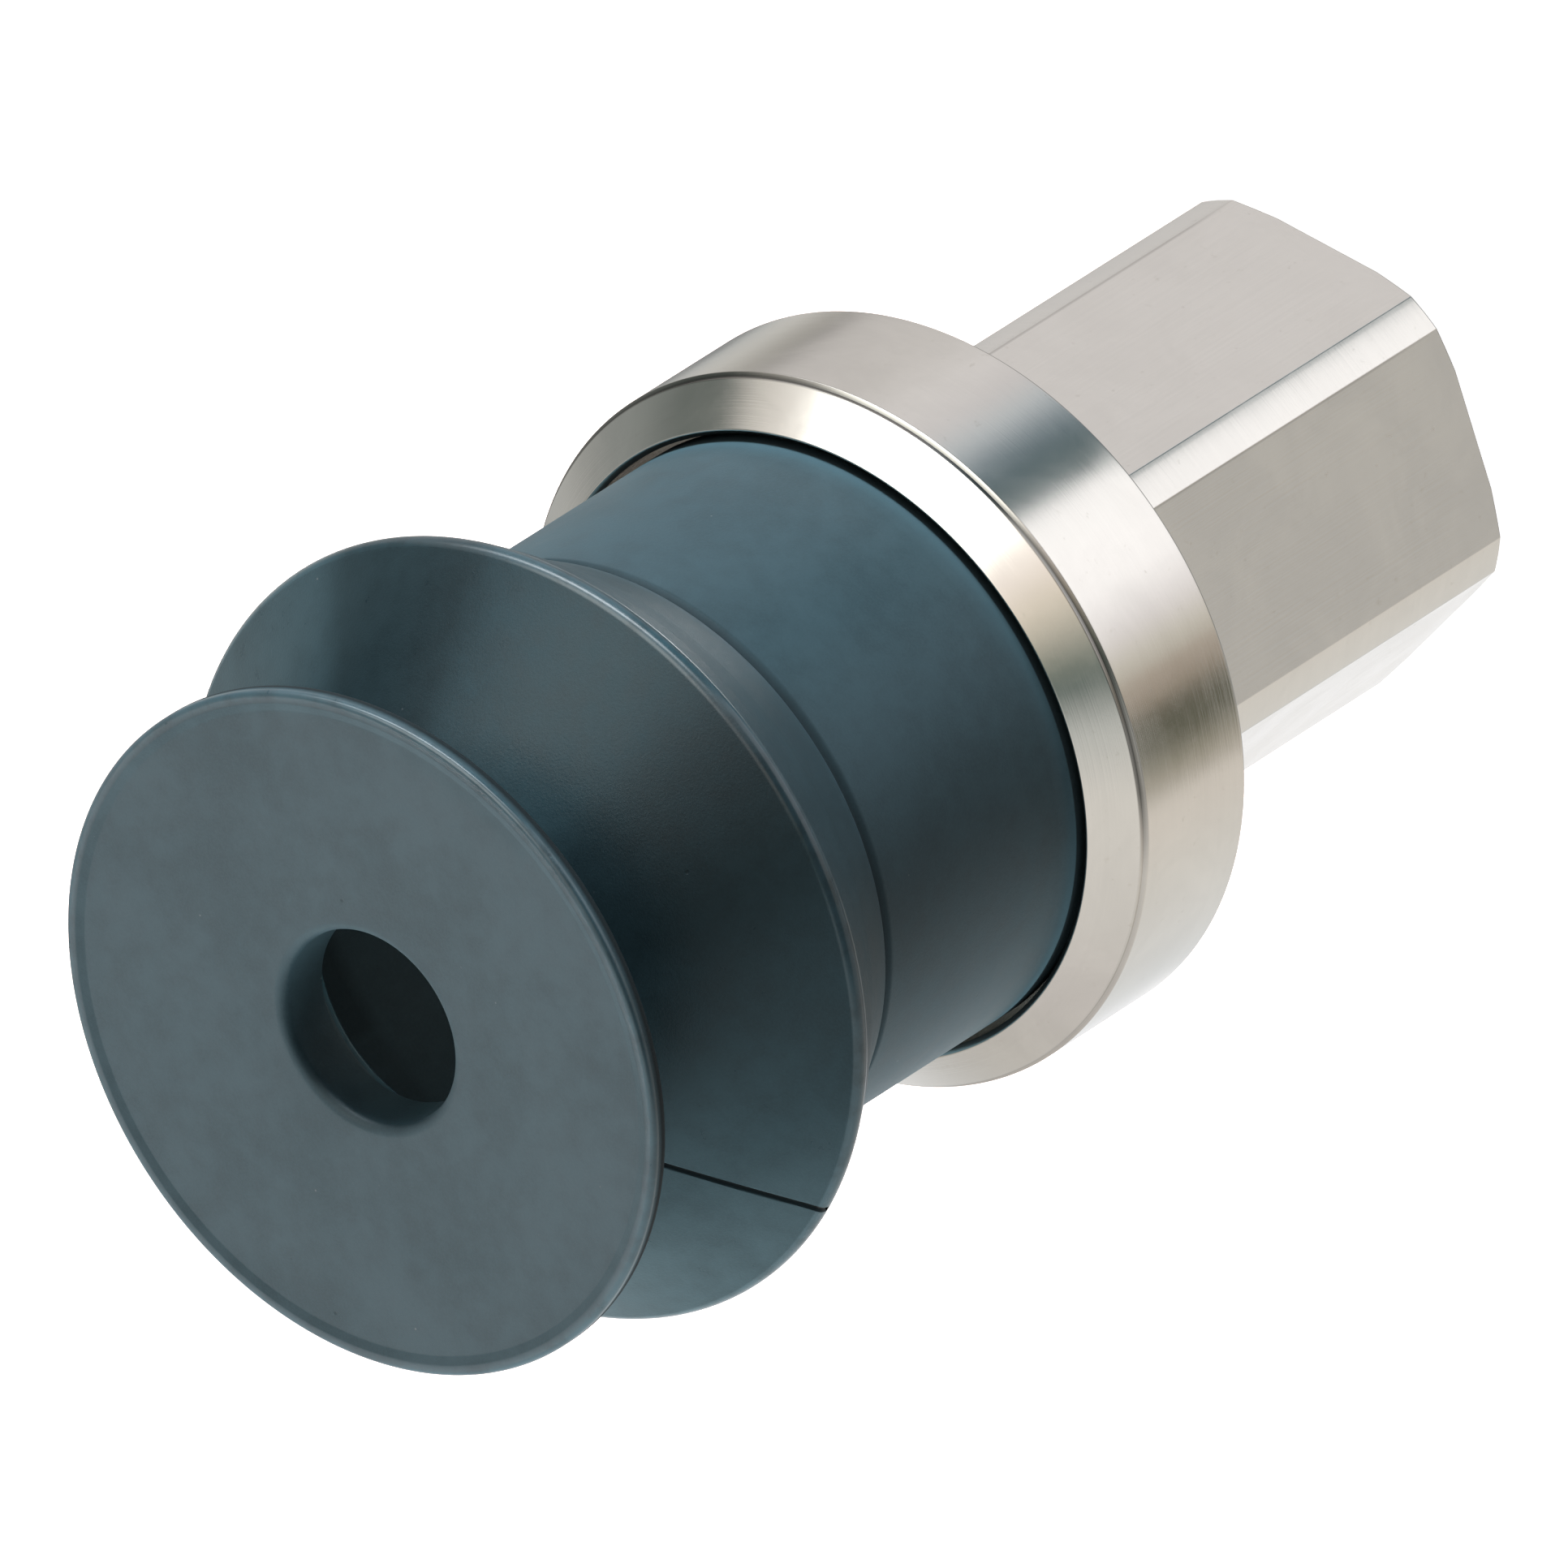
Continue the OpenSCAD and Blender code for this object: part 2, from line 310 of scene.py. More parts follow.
outer = [(base_r, base_z + 0.4, 0.2), (base_r, collar_hi - 0.04, 0), (base_r, collar_hi + 0.04, 0), (base_r, groove_z - 0.30, 0.30), (base_r - 0.16, groove_z + 0.06, 0.18),
         (*on_cone(0.45), 0.45), (*on_cone(3.4, 0.16), 9.0), (*on_cone(5.6, 0.02), 2.5),
         (*rim_corner, rim_radius), (neck_r, neck_z, 1.0), (lip_r, lip_z - 0.76, 0.28), (lip_r, lip_z, 0.34),
         (lip_r - 0.5, lip_z, 0.2), (lip_r - 0.85, lip_z - 0.13, 0.25)]
face_end = (lip_r - 1.6, lip_z - 0.17)
path, mask = rounded([(base_r - 0.4, base_z, 0)] + outer + [(*face_end, 0)], closed=False, per=7.5)
path, mask, _ = refined(path, mask, 0.55, support=0.08, closed=False)
seam_z = neck_z + 0.25
(rear_path, rear_mask), (rest_path, rest_mask) = cut(path, mask, rim_z)
(front_path, front_mask), (lip_path, lip_mask) = cut(rest_path, rest_mask, seam_z)
lip_mask = [m if r > lip_r - 0.36 else 0.0 for (r, z), m in zip(lip_path, lip_mask)]


def close(path, mask, inner, step=0.7):
    """Closes an outer outline with inner corners given from the outline's end back to its start."""
    back, back_mask = rounded([(*path[-1], 0)] + inner + [(*path[0], 0)], closed=False)
    back, back_mask, _ = refined(back, back_mask, step, support=0.08, closed=False)
    return path + back[1:-1], mask + back_mask[1:-1]


rear_loop, rear_mask = close(rear_path, rear_mask, [
    (fold_r - 2.2, rim_z, 0), (10.6, groove_z, 1.0), (8.8, 42.5, 0.1), (8.8, 41.5, 0.1), (10, 38.2, 0.06), (9.1, 38.2, 0.06),
    (10.2, 35, 0.06), (8.9, 35, 0.06), (8.9, 33, 0.06), (11, 33, 0.06), (11, 31.2, 0.06), (7.6, 31.2, 0.06), (7.6, base_z, 0.06)])
seam_inner = throat_r - (seam_z - neck_z) * (throat_r - hole_r) / 1.6
front_loop, front_mask = close(front_path, front_mask, [
    (seam_inner, seam_z, 0), (throat_r, neck_z, 0.2), (throat_r, neck_z - 0.7, 0.5), (fold_r - 2.2, rim_z, 0)])
lip_loop, lip_mask = close(lip_path, lip_mask, [
    (hole_r - 0.03, lip_z - 0.52, 0.48), (hole_r - 0.12, lip_z - 2.9, 0), (seam_inner, seam_z, 0)], step=0.6)
lip_mask = [m if r > lip_r - 0.36 else 0.0 for (r, z), m in zip(lip_loop, lip_mask)]

line_angle, line_slant = photo_angle(69.5), -2.6
fine_line = [-1.3, -1.0, -0.8, -0.65, -0.5, -0.38, -0.27, -0.17, -0.08, 0, 0.08, 0.17, 0.27, 0.38, 0.5, 0.65, 0.8, 1.0, 1.3]
cone_normal = (math.cos(beta), math.sin(beta))


def parting_depth(r, z, a):
    """How deep the mould's parting line is at this place of the front cone."""
    if not (rim_z + 0.02 < z < neck_z + 0.6 and r > 8.0):
        return 0.0
    off = abs((math.degrees(a) - line_angle + 180) % 360 - 180)
    d = r * math.radians(off) / 0.15
    best = (1 - d * d) ** 1.5 if d < 1 else 0.0
    # only the cone's outer face has the line
    on_face = (r - fold_r) * cone_normal[0] + (z - rim_z) * cone_normal[1]
    return best if on_face > -1.0 else 0.0


def part_line(r, z, a):
    d = 0.13 * parting_depth(r, z, a)
    return r - d * cone_normal[0], z - d * cone_normal[1]


def line_turn(r, z, a):
    """Turns the columns beside the parting line, so that it leans a little as it climbs from the rim to the neck."""
    climb = min(1.0, max(0.0, (z - rim_z - 0.6) / (neck_z - rim_z - 0.6)))
    near = max(0.0, 1 - abs((math.degrees(a) - line_angle + 180) % 360 - 180) / 14)
    fade = min(1.0, max(0.0, (neck_z + 0.2 - z) / 0.4))
    return math.radians(line_slant * climb * fade * near * near * (3 - 2 * near))


front_angles = columns(240, (line_angle, fine_line))
line_mark = [parting_depth(r, z, a) for a in front_angles for r, z in front_loop]


def painted_bands(a):
    """Painted shade: the front cone darker in two bands."""
    phi = (-68.5 - math.degrees(a) + 180) % 360 - 180
    one, two = [min(1.0, max(0.0, (wide - abs(phi - at)) / soft)) for at, wide, soft in ((-68, 19, 9), (4, 24, 15))]
    return 0.46 * one * one * (3 - 2 * one) + 0.38 * two * two * (3 - 2 * two)


painted_band_shade = [painted_bands(a) if r > neck_r else 0.0 for a in front_angles for r, z in front_loop]
rear_mask = [m if z > rim_z - 1 else 0.0 for (r, z), m in zip(rear_loop, rear_mask)]
# painted shade: dark in the crease at the groove, near black on the base inside the gap under the collar's mouth
crease = [0.75 * max(0.0, 1 - abs(z - groove_z) / 0.42) ** 0.6 if r > base_r - 0.5 else 0.0 for r, z in rear_loop]
crease = [0.95 if z < collar_hi - 0.02 and r > base_r - 0.3 else v for (r, z), v in zip(rear_loop, crease)]
# painted shade: the underside of the fold is darker, most of all on one side
rear_angles = columns(240)
painted_underside_shade = []
for a in rear_angles:
    one = min(1.0, max(0.0, (-16 - ((-68.5 - math.degrees(a) + 180) % 360 - 180)) / 26))
    painted_underside_shade += [(0.24 + 0.2 * one) * min(1.0, max(0.0, (z - groove_z - 0.3) / 0.8)) if r > base_r - 0.1 else 0.0
              for r, z in rear_loop]
# painted light: a lighter band on the base just above the collar's mouth, where the collar shades it
painted_light_band = [max(0.0, 1 - max(0.0, z - collar_hi) / 1.1) ** 1.5 if r > base_r - 0.2 else 0.0 for r, z in rear_loop]
rear_piece = turned("cup_rear_rubber", rear_loop, rear_angles, {"edge": rear_mask, "line": crease, "painted_light_band": painted_light_band, "painted_shade_mark": painted_underside_shade})
front_piece = turned("cup_front_rubber", front_loop, front_angles, {"edge": front_mask, "line": line_mark, "painted_shade_mark": painted_band_shade}, cut_in=part_line,
                     slant=line_turn)
# painted shade on the lip's rear face, just behind its edge
behind = [0.95 * min(1.0, max(0.0, (lip_z - 0.36 - z) / 0.16)) if r > lip_r - 0.7 else 0.0 for r, z in lip_loop]
lip_mask = [m * (1 - b) for m, b in zip(lip_mask, behind)]
lip_piece = turned("cup_lip_rubber", lip_loop, columns(240), {"edge": lip_mask, "line": behind})

# ----------------------------------------------------------------- spring

spring_lo, spring_hi = foot("compression_spring"), top("compression_spring")
wire, mean_r, coil_count = 1.0, 5.25, 7.0


def coil_height(t, h):
    lead = wire * 1.04
    free = (h - wire - 2 * lead) / (coil_count - 2)
    if t < 1:
        return lead * t
    if t > coil_count - 1:
        return h - wire - lead * (coil_count - t)
    return lead + free * (t - 1)


per_turn, sides = 48, 14
steps = int(coil_count * per_turn)
verts, faces = [], []
for i in range(steps + 1):
    t = i / per_turn
    a = 2 * math.pi * t
    z = spring_lo + wire / 2 + coil_height(t, spring_hi - spring_lo)
    for k in range(sides):
        b = 2 * math.pi * (k + 0.5) / sides
        q = mean_r + wire / 2 * math.cos(b)
        verts.append((q * math.cos(a), q * math.sin(a), z + wire / 2 * math.sin(b)))
for i in range(steps):
    for k in range(sides):
        k1 = (k + 1) % sides
        faces.append((i * sides + k, (i + 1) * sides + k, (i + 1) * sides + k1, i * sides + k1))
faces.append(tuple(range(sides)))
faces.append(tuple(steps * sides + k for k in reversed(range(sides))))
spring_piece = piece("spring_coil", verts, faces)

# -------------------------------------------------------------- materials

class Nodes:
    """Short spelling for building a node tree."""

    def __init__(self, tree):
        self.tree = tree
        tree.nodes.clear()

    def new(self, kind, **props):
        node = self.tree.nodes.new(kind)
        inputs = props.pop("inputs", {})
        for key, value in props.items():
            setattr(node, key, value)
        for key, value in inputs.items():
            self.put(node.inputs[key], value)
        return node

    def put(self, socket, value):
        if isinstance(value, bpy.types.NodeSocket):
            self.tree.links.new(value, socket)
        else:
            socket.default_value = value

    def math(self, op, a, b=0.0, c=0.0, clamp=False):
        node = self.new("ShaderNodeMath", operation=op, use_clamp=clamp)
        for i, v in enumerate((a, b, c)):
            if i < len(node.inputs):
                self.put(node.inputs[i], v)
        return node.outputs[0]

    def vmath(self, op, a, b=(0, 0, 0)):
        node = self.new("ShaderNodeVectorMath", operation=op)
        self.put(node.inputs[0], a)
        self.put(node.inputs[1], b)
        return node.outputs["Value"] if op in ("DOT_PRODUCT", "LENGTH") else node.outputs["Vector"]

    def span(self, x, a, b, to=(0.0, 1.0), smooth=True):
        node = self.new("ShaderNodeMapRange", interpolation_type="SMOOTHSTEP" if smooth else "LINEAR")
        for i, v in enumerate((x, a, b, to[0], to[1])):
            self.put(node.inputs[i], v)
        return node.outputs[0]

    def mix(self, fac, a, b, blend="MIX"):
        node = self.new("ShaderNodeMix", data_type="RGBA", blend_type=blend)
        self.put(node.inputs[0], fac)
        self.put(node.inputs[6], a)
        self.put(node.inputs[7], b)
        return node.outputs[2]

    def noise(self, vector, scale, detail=2.0, rough=0.5, kind="3D", distortion=0.0):
        node = self.new("ShaderNodeTexNoise", noise_dimensions=kind)
        self.put(node.inputs["Vector"], vector)
        self.put(node.inputs["Scale"], scale)
        self.put(node.inputs["Detail"], detail)
        self.put(node.inputs["Roughness"], rough)
        self.put(node.inputs["Distortion"], distortion)
        return node.outputs["Fac"] if "Fac" in node.outputs else node.outputs[0]


def material(name, colour):
    m = bpy.data.materials.new(name)
    m.use_nodes = True
    m.diffuse_color = (*colour, 1)
    n = Nodes(m.node_tree)
    out = n.new("ShaderNodeOutputMaterial")
    shader = n.new("ShaderNodeBsdfPrincipled")
    n.tree.links.new(shader.outputs[0], out.inputs["Surface"])
    coord = n.new("ShaderNodeTexCoord").outputs["Object"]
    mm = n.vmath("SCALE", coord)
    mm.node.inputs["Scale"].default_value = 1000.0
    return m, n, shader, mm


def bump(n, shader, height, distance, strength=1.0):
    node = n.new("ShaderNodeBump")
    n.put(node.inputs["Height"], height)
    node.inputs["Distance"].default_value = distance * MM
    node.inputs["Strength"].default_value = strength
    n.tree.links.new(node.outputs[0], shader.inputs["Normal"])


def mark(n, key):
    return n.new("ShaderNodeAttribute", attribute_name=key).outputs["Fac"]


def rubber(name, colour, rough=0.5, specular=0.5, dust=1.0):
    m, n, shader, mm = material(name, colour)
    slow = n.noise(mm, 0.16, 3, 0.55)
    cloud = n.noise(mm, 0.9, 4, 0.6)
    grain = n.noise(mm, 9.0, 3, 0.6)
    fine = n.noise(mm, 26.0, 2, 0.5)
    dark = tuple(c * 0.86 for c in colour) + (1,)
    light = tuple(c * 1.12 for c in colour) + (1,)
    tone = n.math("ADD", n.math("MULTIPLY", slow, 0.55), n.math("MULTIPLY", cloud, 0.45))
    base = n.mix(n.span(tone, 0.35, 0.65), dark, light)
    base = n.mix(n.math("MULTIPLY", n.span(grain, 0.35, 0.68), 0.16), base, tuple(c * 1.5 for c in colour) + (1,))
    # pale dust specks and dark pinholes of the moulded skin
    cells = n.new("ShaderNodeTexVoronoi", feature="F1")
    n.put(cells.inputs["Vector"], mm)
    cells.inputs["Scale"].default_value = 0.55
    cells.inputs["Randomness"].default_value = 1.0
    speck = n.span(cells.outputs["Distance"], 0.035, 0.015)
    base = n.mix(n.math("MULTIPLY", speck, 0.35 * dust), base, (0.30, 0.34, 0.36, 1))
    pits = n.new("ShaderNodeTexVoronoi", feature="F1")
    n.put(pits.inputs["Vector"], mm)
    pits.inputs["Scale"].default_value = 0.37
    pit = n.span(pits.outputs["Distance"], 0.045, 0.02)
    base = n.mix(n.math("MULTIPLY", pit, 0.45), base, tuple(c * 0.3 for c in colour) + (1,))
    # corners go pale, partly wear and partly a painted highlight on the rims; the parting line stays dark
    wear = n.math("MULTIPLY", mark(n, "edge"), n.span(cloud, 0.3, 0.6, to=(0.25, 0.7)))
    base = n.mix(n.math("MULTIPLY", wear, 0.7), base, (colour[0] + 0.015, colour[1] + 0.055, colour[2] + 0.075, 1))
    # painted light: a lighter band on the base just above the collar's mouth
    base = n.mix(n.math("MULTIPLY", mark(n, "painted_light_band"), 0.8), base, tuple(min(1, c * 2.3) for c in colour) + (1,))
    # painted shade: the fold's underside and two bands on the front cone
    base = n.mix(mark(n, "painted_shade_mark"), base, tuple(c * 0.1 for c in colour) + (1,))
    # the line mark paints the parting line dark, and also paints shade in the crease at the groove, in the gap under
    # the collar's mouth and behind the lip's edge
    line = mark(n, "line")
    base = n.mix(n.math("MULTIPLY", line, 0.92), base, (0.006, 0.008, 0.009, 1))
    n.put(shader.inputs["Base Color"], base)
    gloss = n.math("ADD", rough - 0.06, n.math("MULTIPLY", cloud, 0.14))
    gloss = n.math("ADD", gloss, n.math("MULTIPLY", line, 0.3))
    gloss = n.math("SUBTRACT", gloss, n.math("MULTIPLY", mark(n, "edge"), 0.12))
    n.put(shader.inputs["Roughness"], gloss)
    shader.inputs["Specular IOR Level"].default_value = specular
    # handling polishes the rims
    n.put(shader.inputs["Coat Weight"], n.math("MULTIPLY", mark(n, "edge"), n.span(cloud, 0.25, 0.5, to=(0.55, 0.85))))
    shader.inputs["Coat Roughness"].default_value = 0.16
    height = n.math("ADD", n.math("MULTIPLY", grain, 0.65), n.math("MULTIPLY", fine, 0.35))
    height = n.math("SUBTRACT", height, n.math("MULTIPLY", pit, 0.8))
    bump(n, shader, height, 0.012)
    return m


def metal(name, colour, rough=0.12, lines="turned", depth=0.004, smudge=0.10):
    """Plated or bright metal. lines is turned, drawn or hex, where the mark `flat` picks drawn lines and the rest is turned."""
    m, n, shader, mm = material(name, colour)
    part = n.new("ShaderNodeSeparateXYZ")
    n.put(part.inputs[0], mm)
    x, y, z = part.outputs
    r = n.math("SQRT", n.math("ADD", n.math("MULTIPLY", x, x), n.math("MULTIPLY", y, y)))
    joined = n.new("ShaderNodeCombineXYZ")
    n.put(joined.inputs[0], r)
    n.put(joined.inputs[1], z)
    lathe = n.noise(joined.outputs[0], 7.0, 4, 0.7, "2D")
    lathe_fine = n.noise(joined.outputs[0], 26.0, 2, 0.6, "2D")
    turned_lines = n.math("ADD", n.math("MULTIPLY", lathe, 0.6), n.math("MULTIPLY", lathe_fine, 0.4))
    along = n.new("ShaderNodeCombineXYZ")
    n.put(along.inputs[0], n.math("MULTIPLY", x, 6.0))
    n.put(along.inputs[1], n.math("MULTIPLY", y, 6.0))
    n.put(along.inputs[2], n.math("MULTIPLY", z, 0.09))
    drawn_lines = n.noise(along.outputs[0], 1.3, 4, 0.65)
    if lines == "hex":
        flat = mark(n, "flat")
        height = n.math("ADD", n.math("MULTIPLY", turned_lines, n.math("SUBTRACT", 1.0, flat)),
                        n.math("MULTIPLY", drawn_lines, flat))
    else:
        height = drawn_lines if lines == "drawn" else turned_lines
    cloud = n.noise(mm, 0.22, 4, 0.62, distortion=0.6)
    spots = n.noise(mm, 2.6, 3, 0.6)
    base = n.mix(n.span(cloud, 0.3, 0.7), tuple(c * 0.95 for c in colour) + (1,), tuple(min(1, c * 1.03) for c in colour) + (1,))
    base = n.mix(n.math("MULTIPLY", n.span(height, 0.25, 0.75), 0.10), base, tuple(c * 0.82 for c in colour) + (1,))
    stain = n.math("MULTIPLY", n.span(spots, 0.64, 0.78), 0.22)
    base = n.mix(stain, base, (colour[0] * 0.74, colour[1] * 0.70, colour[2] * 0.62, 1))
    wear = n.math("MULTIPLY", mark(n, "edge"), n.span(spots, 0.35, 0.6, to=(0.2, 0.8)))
    base = n.mix(n.math("MULTIPLY", wear, 0.35), base, (min(1, colour[0] * 1.1), min(1, colour[1] * 1.08), min(1, colour[2] * 1.05), 1))
    # painted shade and reflection: dark lines along the hexagon's flats and in the collar's fine groove
    base = n.mix(mark(n, "painted_dark_line"), base, (0.05, 0.05, 0.045, 1))
    n.put(shader.inputs["Base Color"], base)
    shader.inputs["Metallic"].default_value = 1.0
    gloss = n.math("ADD", rough, n.math("MULTIPLY", n.span(cloud, 0.35, 0.7), smudge))
    gloss = n.math("ADD", gloss, n.math("MULTIPLY", stain, 0.4))
    gloss = n.math("ADD", gloss, n.math("MULTIPLY", height, 0.06))
    n.put(shader.inputs["Roughness"], gloss)
    bump(n, shader, height, depth)
    return m


def sintered(name, colour):
    m, n, shader, mm = material(name, colour)
    grains = n.new("ShaderNodeTexVoronoi", feature="F1")
    n.put(grains.inputs["Vector"], mm)
    grains.inputs["Scale"].default_value = 7.0
    pores = n.span(n.noise(mm, 5.0, 3, 0.6), 0.58, 0.66)
    base = n.mix(n.span(grains.outputs["Distance"], 0.1, 0.6), tuple(min(1, c * 1.15) for c in colour) + (1,), tuple(c * 0.7 for c in colour) + (1,))
    base = n.mix(pores, base, tuple(c * 0.2 for c in colour) + (1,))
    n.put(shader.inputs["Base Color"], base)
    shader.inputs["Metallic"].default_value = 1.0
    n.put(shader.inputs["Roughness"], n.math("ADD", 0.38, n.math("MULTIPLY", pores, 0.3)))
    bump(n, shader, n.math("SUBTRACT", 1.0, n.math("ADD", grains.outputs["Distance"], n.math("MULTIPLY", pores, 0.7))), 0.03)
    return m


def plastic(name, colour):
    m, n, shader, mm = material(name, colour)
    cloud = n.noise(mm, 0.5, 3, 0.5)
    skin = n.noise(mm, 14.0, 2, 0.5)
    flow = n.noise(n.vmath("MULTIPLY", mm, (1, 1, 5)), 0.8, 3, 0.5)
    base = n.mix(n.span(cloud, 0.3, 0.7), tuple(c * 0.93 for c in colour) + (1,), tuple(min(1, c * 1.03) for c in colour) + (1,))
    base = n.mix(n.math("MULTIPLY", n.span(flow, 0.5, 0.75), 0.18), base, (colour[0] * 0.85, colour[1] * 0.80, colour[2] * 0.68, 1))
    n.put(shader.inputs["Base Color"], base)
    n.put(shader.inputs["Roughness"], n.math("ADD", 0.38, n.math("MULTIPLY", skin, 0.15)))
    bump(n, shader, n.math("ADD", n.math("MULTIPLY", skin, 0.5), n.math("MULTIPLY", flow, 0.5)), 0.01)
    return m


nickel_rgb = (0.80, 0.775, 0.735)
mat_hex = metal("nickel_drawn_hexagon", nickel_rgb, 0.13, "hex", 0.005, 0.07)
mat_collar = metal("nickel_turned_collar", nickel_rgb, 0.10, "turned", 0.004, 0.06)
mat_nickel = metal("nickel_turned", nickel_rgb, 0.16)
mat_steel = metal("stainless_turned", (0.62, 0.62, 0.61), 0.20)
mat_spring = metal("spring_steel_drawn", (0.46, 0.46, 0.47), 0.26, "drawn", 0.006)
mat_screen = metal("stainless_etched", (0.60, 0.60, 0.58), 0.30, "drawn", 0.004)
mat_bronze = sintered("sintered_bronze_pores", (0.60, 0.38, 0.17))
mat_cup = rubber("cup_rubber_slate", (0.0465, 0.084, 0.101), 0.41, 0.24)
mat_fold = rubber("cup_rubber_polished", (0.036, 0.072, 0.087), 0.29, 0.24)
mat_seal = rubber("nitrile_black", (0.018, 0.018, 0.019), 0.42, 0.5, 0.4)
mat_acetal = plastic("acetal_ivory", (0.80, 0.77, 0.68))


def give(obj, mat):
    obj.data.materials.clear()
    obj.data.materials.append(mat)


give(hex_piece, mat_hex)
give(collar_piece, mat_collar)
for o, mat in ((rear_piece, mat_cup), (front_piece, mat_fold), (lip_piece, mat_cup)):
    give(o, mat)
give(spring_piece, mat_spring)

for node, mat in {
    "guide_tube": mat_steel, "tube_seal": mat_seal, "filter_screen": mat_screen, "filter_ring": mat_spring,
    "spring_seat": mat_steel, "bumper_ring": mat_seal, "stop_washer": mat_steel, "circlip": mat_spring,
    "thrust_washer": mat_steel, "cup_carrier": mat_nickel, "slide_bush": mat_bronze, "shaft_seal": mat_seal,
    "seal_retainer": mat_steel, "guide_band": mat_acetal,
}.items():
    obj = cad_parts[node]
    while len(obj.material_slots) < 1:
        obj.data.materials.append(None)
    for s in obj.material_slots:
        s.material = mat

# ------------------------------------------------------- riding the bodies

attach(hex_piece, "housing")
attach(collar_piece, "housing")
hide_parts("hex_body")
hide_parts("collar_sleeve")
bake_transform(rear_piece)
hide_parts("cup_base", "cup_rear_fold")
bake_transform(front_piece)
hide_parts("cup_front_fold")
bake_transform(lip_piece)
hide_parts("cup_lip")
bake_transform(spring_piece)
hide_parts("compression_spring")

# -------------------------------------------------------- floor and lights

size = 3.0
grid = 12
floor_verts = [(size * (2 * i / grid - 1), size * (2 * j / grid - 1), -0.00002) for j in range(grid + 1) for i in range(grid + 1)]
floor_faces = [(j * (grid + 1) + i, j * (grid + 1) + i + 1, (j + 1) * (grid + 1) + i + 1, (j + 1) * (grid + 1) + i)
               for j in range(grid) for i in range(grid)]
floor_mesh = bpy.data.meshes.new("floor")
floor_mesh.from_pydata(floor_verts, [], floor_faces)
floor = bpy.data.objects.new("floor", floor_mesh)
bpy.context.scene.collection.objects.link(floor)
m = bpy.data.materials.new("floor_paper")
m.use_nodes = True
n = Nodes(m.node_tree)
out = n.new("ShaderNodeOutputMaterial")
paper = n.new("ShaderNodeBsdfDiffuse")
paper.inputs["Color"].default_value = (0.86, 0.86, 0.855, 1)
glow = n.new("ShaderNodeEmission")
glow.inputs["Color"].default_value = (1, 1, 0.995, 1)
glow.inputs["Strength"].default_value = 0.80
both = n.new("ShaderNodeAddShader")
n.tree.links.new(paper.outputs[0], both.inputs[0])
n.tree.links.new(glow.outputs[0], both.inputs[1])
n.tree.links.new(both.outputs[0], out.inputs["Surface"])
floor.data.materials.append(m)
floor.visible_glossy = False
floor.visible_diffuse = False
floor.visible_shadow = False

world = bpy.data.worlds.new("studio")
bpy.context.scene.world = world
world.use_nodes = True
n = Nodes(world.node_tree)
out = n.new("ShaderNodeOutputWorld")
direction = n.new("ShaderNodeTexCoord").outputs["Generated"]
dx = n.vmath("DOT_PRODUCT", direction, tuple(W))
dy = n.vmath("DOT_PRODUCT", direction, tuple(V))
dz = n.vmath("DOT_PRODUCT", direction, tuple(Z))
az = n.math("MULTIPLY", n.math("ARCTAN2", dy, dx), 180 / math.pi)
el = n.math("MULTIPLY", n.math("ARCSINE", dz), 180 / math.pi)


def window(x, a, b, soft_a, soft_b):
    rise = n.span(x, a - soft_a, a + soft_a)
    fall = n.span(x, b + soft_b, b - soft_b)
    return n.math("MULTIPLY", rise, fall)


def patch(colour, amount, fill):
    return n.mix(amount, colour, (*fill, 1))


def ramp(n, x, stops):
    """Colours along x in degrees, -180 to 180."""
    node = n.new("ShaderNodeValToRGB")
    node.color_ramp.interpolation = "LINEAR"
    place = lambda deg: (deg + 180) / 360
    line = node.color_ramp.elements
    line[0].position, line[1].position = place(stops[0][0]), place(stops[-1][0])
    line[0].color, line[1].color = (*stops[0][1], 1), (*stops[-1][1], 1)
    for deg, colour in stops[1:-1]:
        line.new(place(deg)).color = (*colour, 1)
    n.put(node.inputs[0], n.span(x, -180, 180, smooth=False))
    return node.outputs[0]


# The soft boxes and dark flags that the metal mirrors, by azimuth from the camera's side.
# low is what upright walls see from above, high is what the collar's chamfer sees.
low = ramp(n, az, [
    (-180, (0.27, 0.28, 0.28)), (-166, (0.24, 0.25, 0.25)), (-158, (0.52, 0.53, 0.52)), (-145, (0.62, 0.61, 0.58)),
    (-131, (0.42, 0.41, 0.38)), (-125, (0.38, 0.37, 0.36)), (-117, (0.62, 0.60, 0.59)), (-90, (0.68, 0.66, 0.65)), (-76, (0.79, 0.77, 0.77)),
    (-62, (0.74, 0.72, 0.73)), (-53, (0.60, 0.65, 0.69)), (-44, (0.24, 0.30, 0.34)), (-36, (0.10, 0.15, 0.17)),
    (-26, (0.22, 0.27, 0.28)), (-22, (1.25, 1.25, 1.27)), (6, (1.25, 1.24, 1.26)), (20, (0.90, 0.87, 0.88)),
    (29, (0.68, 0.65, 0.58)), (37, (0.50, 0.46, 0.40)), (44, (0.56, 0.56, 0.55)), (60, (0.56, 0.55, 0.53)),
    (76, (0.75, 0.70, 0.64)), (100, (0.76, 0.74, 0.70)), (150, (0.78, 0.80, 0.81)), (166, (0.95, 0.96, 0.98)),
    (180, (1.08, 1.08, 1.10))])
